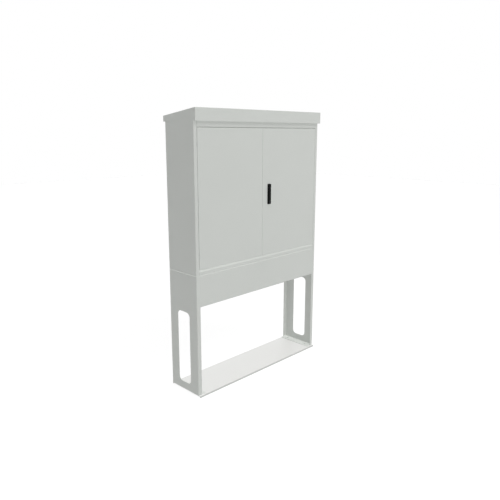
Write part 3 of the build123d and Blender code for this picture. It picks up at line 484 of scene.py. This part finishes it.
def shell(outlines, heights, place, side):
    """Closed shell through one outline at each height: point j of row i joins point j + 1 and
    row i + 1, and the end rows are capped. The height runs along the side that it faces."""
    columns = len(outlines[0])
    local = np.concatenate([
        np.column_stack([outline, np.full(columns, height)])
        for outline, height in zip(outlines, heights)
    ])
    row, column = np.mgrid[0:len(heights) - 1, 0:columns]
    following = (column + 1) % columns
    quads = np.stack([
        row * columns + column, row * columns + following,
        (row + 1) * columns + following, (row + 1) * columns + column,
    ], -1).reshape(-1, 4)
    last = (len(heights) - 1) * columns
    caps = [list(range(columns)), list(range(last, last + columns))]
    return np.asarray(place) + local @ facing[side], quads.tolist() + caps


def turned(radius, profile, place, side, sides):
    """Shell with a circle, or polygon, of the radius less the inset at each (inset, height)."""
    angle = np.arange(sides) * 2 * pi / sides
    circle = np.column_stack([np.cos(angle), np.sin(angle)])
    outlines = [circle * (radius - inset) for inset, height in profile]
    return shell(outlines, [height for inset, height in profile], place, side)


def scaled(profile, size):
    """Profile that is given in shares of a size, in metres."""
    return [(inset * size, height * size) for inset, height in profile]


def bolt_head(thread, place, side):
    """Flat washer and hexagon head, in their usual proportions to the thread."""
    return [
        turned(thread, scaled(washer_profile, thread), place, side, sides=24),
        turned(head_corner * thread, scaled(head_profile, thread), place, side, sides=6),
    ]


def stud_nut(thread, place, side):
    """Washer and nut as a bolt's head has them, and the end of the stud standing out."""
    end = turned(stud_radius * thread, scaled(stud_profile, thread), place, side, sides=16)
    return [*bolt_head(thread, place, side), end]


def add_piece(name, shells, material, body):
    """Join shells in one mesh with its faces outwards and its edges crisp, and make it ride."""
    starts = np.cumsum([0, *[len(points) for points, faces in shells]])
    mesh = bpy.data.meshes.new(name)
    mesh.from_pydata(
        np.concatenate([points for points, faces in shells]).tolist(), [],
        [[index + start for index in face]
         for start, (points, faces) in zip(starts, shells) for face in faces],
    )
    outward = bmesh.new()
    outward.from_mesh(mesh)
    bmesh.ops.recalc_face_normals(outward, faces=outward.faces)
    outward.to_mesh(mesh)
    outward.free()
    mesh.shade_smooth()
    mesh.set_sharp_from_angle(angle=crease_angle)
    mesh.materials.append(material)
    piece = bpy.data.objects.new(name, mesh)
    scene.collection.objects.link(piece)
    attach(piece, body)
    return piece


insulator_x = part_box("busbar_insulators")[1][0] - insulator_half_width
bar_boxes = [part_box(f"phase_busbar_{number}") for number in (1, 2, 3)]
add_piece("busbar_bolts", [
    part
    for low, high in bar_boxes for x in (-insulator_x, insulator_x)
    for part in bolt_head(bar_thread, (x, low[1], (low[2] + high[2]) / 2), "-y")
], zinc_plate, "cabinet")


# Outgoing terminals: three zinc-plated studs with nuts and washers on the foot of each
# fuse rail, for the lugs of one cable's three phases.
terminal_thread = 0.010
terminal_pitch = 0.022
terminal_above_foot = 0.020

rail_boxes = [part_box(f"fuse_rail_{number}") for number in (1, 2, 3, 4)]
rail_middles = [(low[0] + high[0]) / 2 for low, high in rail_boxes]
terminal_height = rail_boxes[0][0][2] + terminal_above_foot
spine_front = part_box("fuse_contacts")[1][1]
add_piece("rail_terminals", [
    part
    for middle in rail_middles for step in (-1, 0, 1)
    for part in stud_nut(
        terminal_thread, (middle + step * terminal_pitch, spine_front, terminal_height), "-y",
    )
], zinc_plate, "cabinet")


# Neutral bar's bolts: zinc-plated hexagon bolts, one for each cable's neutral core, through
# the bar with its nut behind, and one at each end that holds the bar to its bracket.
neutral_thread = 0.012
bracket_thread = 0.010
bracket_pad_middle = 0.054

low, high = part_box("neutral_busbar")
neutral_height = (low[2] + high[2]) / 2
bracket_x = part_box("neutral_brackets")[1][0] - bracket_pad_middle
add_piece("neutral_bar_bolts", [
    *[part for x in rail_middles
      for part in bolt_head(neutral_thread, (x, low[1], neutral_height), "-y")],
    *[part for x in rail_middles
      for part in stud_nut(neutral_thread, (x, high[1], neutral_height), "+y")],
    *[part for x in (-bracket_x, bracket_x)
      for part in bolt_head(bracket_thread, (x, low[1], neutral_height), "-y")],
], zinc_plate, "cabinet")


# Clamp screws: two hexagon screws through the feet of each cable clamp, into nuts in the
# rail behind, all of zinc-plated steel.
clamp_thread = 0.006
clamp_foot_thickness = 0.003
clamp_foot_middle = 0.027

low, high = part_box("cable_clamps")
foot_front = high[1] - clamp_foot_thickness
clamp_height = (low[2] + high[2]) / 2
add_piece("clamp_screws", [
    part
    for middle in rail_middles for aside in (-clamp_foot_middle, clamp_foot_middle)
    for part in bolt_head(clamp_thread, (middle + aside, foot_front, clamp_height), "-y")
], zinc_plate, "cabinet")


# Casing nuts: nuts and washers of zinc-plated steel on the bolts that join the casing to
# its stand. They lie on the floor flanges inside the casing.
casing_thread = 0.008
casing_bolt_corner = 0.007
casing_bolt_flat = 0.0061
casing_bolt_reach = 0.008

low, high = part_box("casing_bolts")
casing_bolt_x = high[0] - casing_bolt_corner
flange_top = high[2] - casing_bolt_reach
add_piece("casing_nuts", [
    part
    for x in (-casing_bolt_x, 0, casing_bolt_x)
    for y in (low[1] + casing_bolt_flat, high[1] - casing_bolt_flat)
    for part in bolt_head(casing_thread, (x, y, flange_top), "+z")
], zinc_plate, "cabinet")


# Rivets: two round heads on the plate of each slide bolt's bracket, zinc plated as the
# bracket is, and clinched to the door's skin.
rivet_radius = 0.0025
rivet_profile = [(0, 0), (0.10, 0.35), (0.35, 0.62), (0.75, 0.80)]
rivet_aside = 0.0095
rivet_spread = 0.014
bracket_plate = 0.0015

rivets = []
for node in ("upper_bolt_bracket", "lower_bolt_bracket"):
    low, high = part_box(node)
    for side in (-1, 1):
        rivets.append(turned(
            rivet_radius, scaled(rivet_profile, rivet_radius),
            ((low[0] + high[0]) / 2 + side * rivet_aside, low[1] + bracket_plate,
             (low[2] + high[2]) / 2 + side * rivet_spread),
            "+y", sides=16,
        ))
add_piece("bracket_rivets", rivets, zinc_plate, "left_door")


# Fuse links: a steatite tube, square with round corners, closed by a pressed alloy plate
# and four screws at each end. A silvered blade stands on each plate, and a T-shaped lug for
# the lifting handle on its front edge.
link_length = 0.141
body_width = 0.044
body_length = 0.070
body_corner = 0.0065
body_edge = 0.0005
end_plate_thickness = 0.003
end_plate_corner = 0.004
end_plate_edge = 0.0004
cap_screw_radius = 0.0022
cap_screw_profile = [(0, 0), (0, 0.0005), (0.0006, 0.0008)]
cap_screw_aside = 0.0155
lug_reach = 0.005
lug_stem = (0.009, 0.002)
lug_stem_corner = 0.0005
lug_stem_end = 0.004
lug_head = (0.020, 0.005)
lug_head_corner = 0.001
lug_head_thickness = 0.0015
lug_head_edge = 0.0003
blade_size = (0.006, 0.015)
blade_corner = 0.001
blade_tip = (0.0009, 0.0015)
indicator_radius = 0.0028
indicator_profile = [(0, 0), (0, 0.0008), (0.0008, 0.0008), (0.001, 0.0003)]
indicator_above_middle = 0.0175
phases = 3


def plate(size, corner, profile, place, side, steps=4):
    """Shell with a rounded rectangle at each (inset, height): four quarter circles of the
    corner radius less the inset, about centres that stay in their places."""
    quarter = np.repeat(np.arange(4), steps + 1)
    angle = np.tile(np.linspace(0, pi / 2, steps + 1), 4) + quarter * pi / 2
    across = np.array([1, -1, -1, 1])[quarter] * (size[0] / 2 - corner)
    along = np.array([1, 1, -1, -1])[quarter] * (size[1] / 2 - corner)
    outlines = [np.column_stack([
        across + (corner - inset) * np.cos(angle), along + (corner - inset) * np.sin(angle),
    ]) for inset, height in profile]
    return shell(outlines, [height for inset, height in profile], place, side)


def softened(length, edge):
    """Profile of a straight block of a length, with its edge taken off at both ends."""
    return [(edge, 0), (0, edge), (0, length - edge), (edge, length)]


def link_fittings(x, y, z):
    """Indicator high on a link's front, and the plates, screws and lugs at its two ends."""
    front = y - body_width / 2
    fittings = [turned(
        indicator_radius, indicator_profile, (x, front, z + indicator_above_middle), "-y",
        sides=20,
    )]
    for end in (-1, 1):
        outer = z + end * body_length / 2
        lower = min(outer, outer - end * end_plate_thickness)
        middle = lower + end_plate_thickness / 2
        fittings.append(plate(
            (body_width, body_width), end_plate_corner,
            softened(end_plate_thickness, end_plate_edge), (x, y, lower), "+z",
        ))
        fittings += [turned(
            cap_screw_radius, cap_screw_profile,
            (x + side_x * cap_screw_aside, y + side_y * cap_screw_aside, outer),
            "+z" if end > 0 else "-z", sides=12,
        ) for side_x in (-1, 1) for side_y in (-1, 1)]
        fittings.append(plate(
            lug_stem, lug_stem_corner, [(0, 0), (0, lug_stem_end)], (x, front, middle), "-y",
        ))
        fittings.append(plate(
            lug_head, lug_head_corner,
            [(0, lug_reach - lug_head_thickness), (0, lug_reach - lug_head_edge),
             (lug_head_edge, lug_reach)],
            (x, front, middle), "-y",
        ))
    return fittings


def link_blades(x, y, z):
    """Lower and upper blade of a link, each from its end plate to a chamfered tip."""
    reach = (link_length - body_length) / 2
    inset, length = blade_tip
    tip_down = [(inset, 0), (0, length), (0, reach)]
    tip_up = [(0, 0), (0, reach - length), (inset, reach)]
    return [
        plate(blade_size, blade_corner, tip_down, (x, y, z - link_length / 2), "+z"),
        plate(blade_size, blade_corner, tip_up, (x, y, z + body_length / 2), "+z"),
    ]


ceramic = moulded_plastic(
    "unglazed_steatite", "#E6DFD0", "#DAD2C1", grain_width=0.0015,
    grain_height=0.00002, roughness=(0.36, 0.50),
)
alloy = plated_metal(
    "pressed_aluminium_alloy", "#D2D3D4", "#B3B5B7", patch_width=0.010, roughness=(0.30, 0.46),
)

tube_length = body_length - 2 * end_plate_thickness
for number in (1, 2, 3, 4):
    low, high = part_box(f"fuse_links_{number}")
    x = (low[0] + high[0]) / 2
    y = (low[1] + high[1]) / 2
    levels = np.linspace(low[2] + link_length / 2, high[2] - link_length / 2, phases)
    body = add_piece(f"fuse_bodies_{number}", [
        plate(
            (body_width, body_width), body_corner, softened(tube_length, body_edge),
            (x, y, z - tube_length / 2), "+z",
        ) for z in levels
    ], ceramic, "cabinet")
    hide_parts(f"fuse_links_{number}")
    add_piece(f"fuse_end_plates_{number}", [
        part for z in levels for part in link_fittings(x, y, z)
    ], alloy, "cabinet")
    add_piece(f"fuse_blades_{number}", [
        part for z in levels for part in link_blades(x, y, z)
    ], contact_silver, "cabinet")
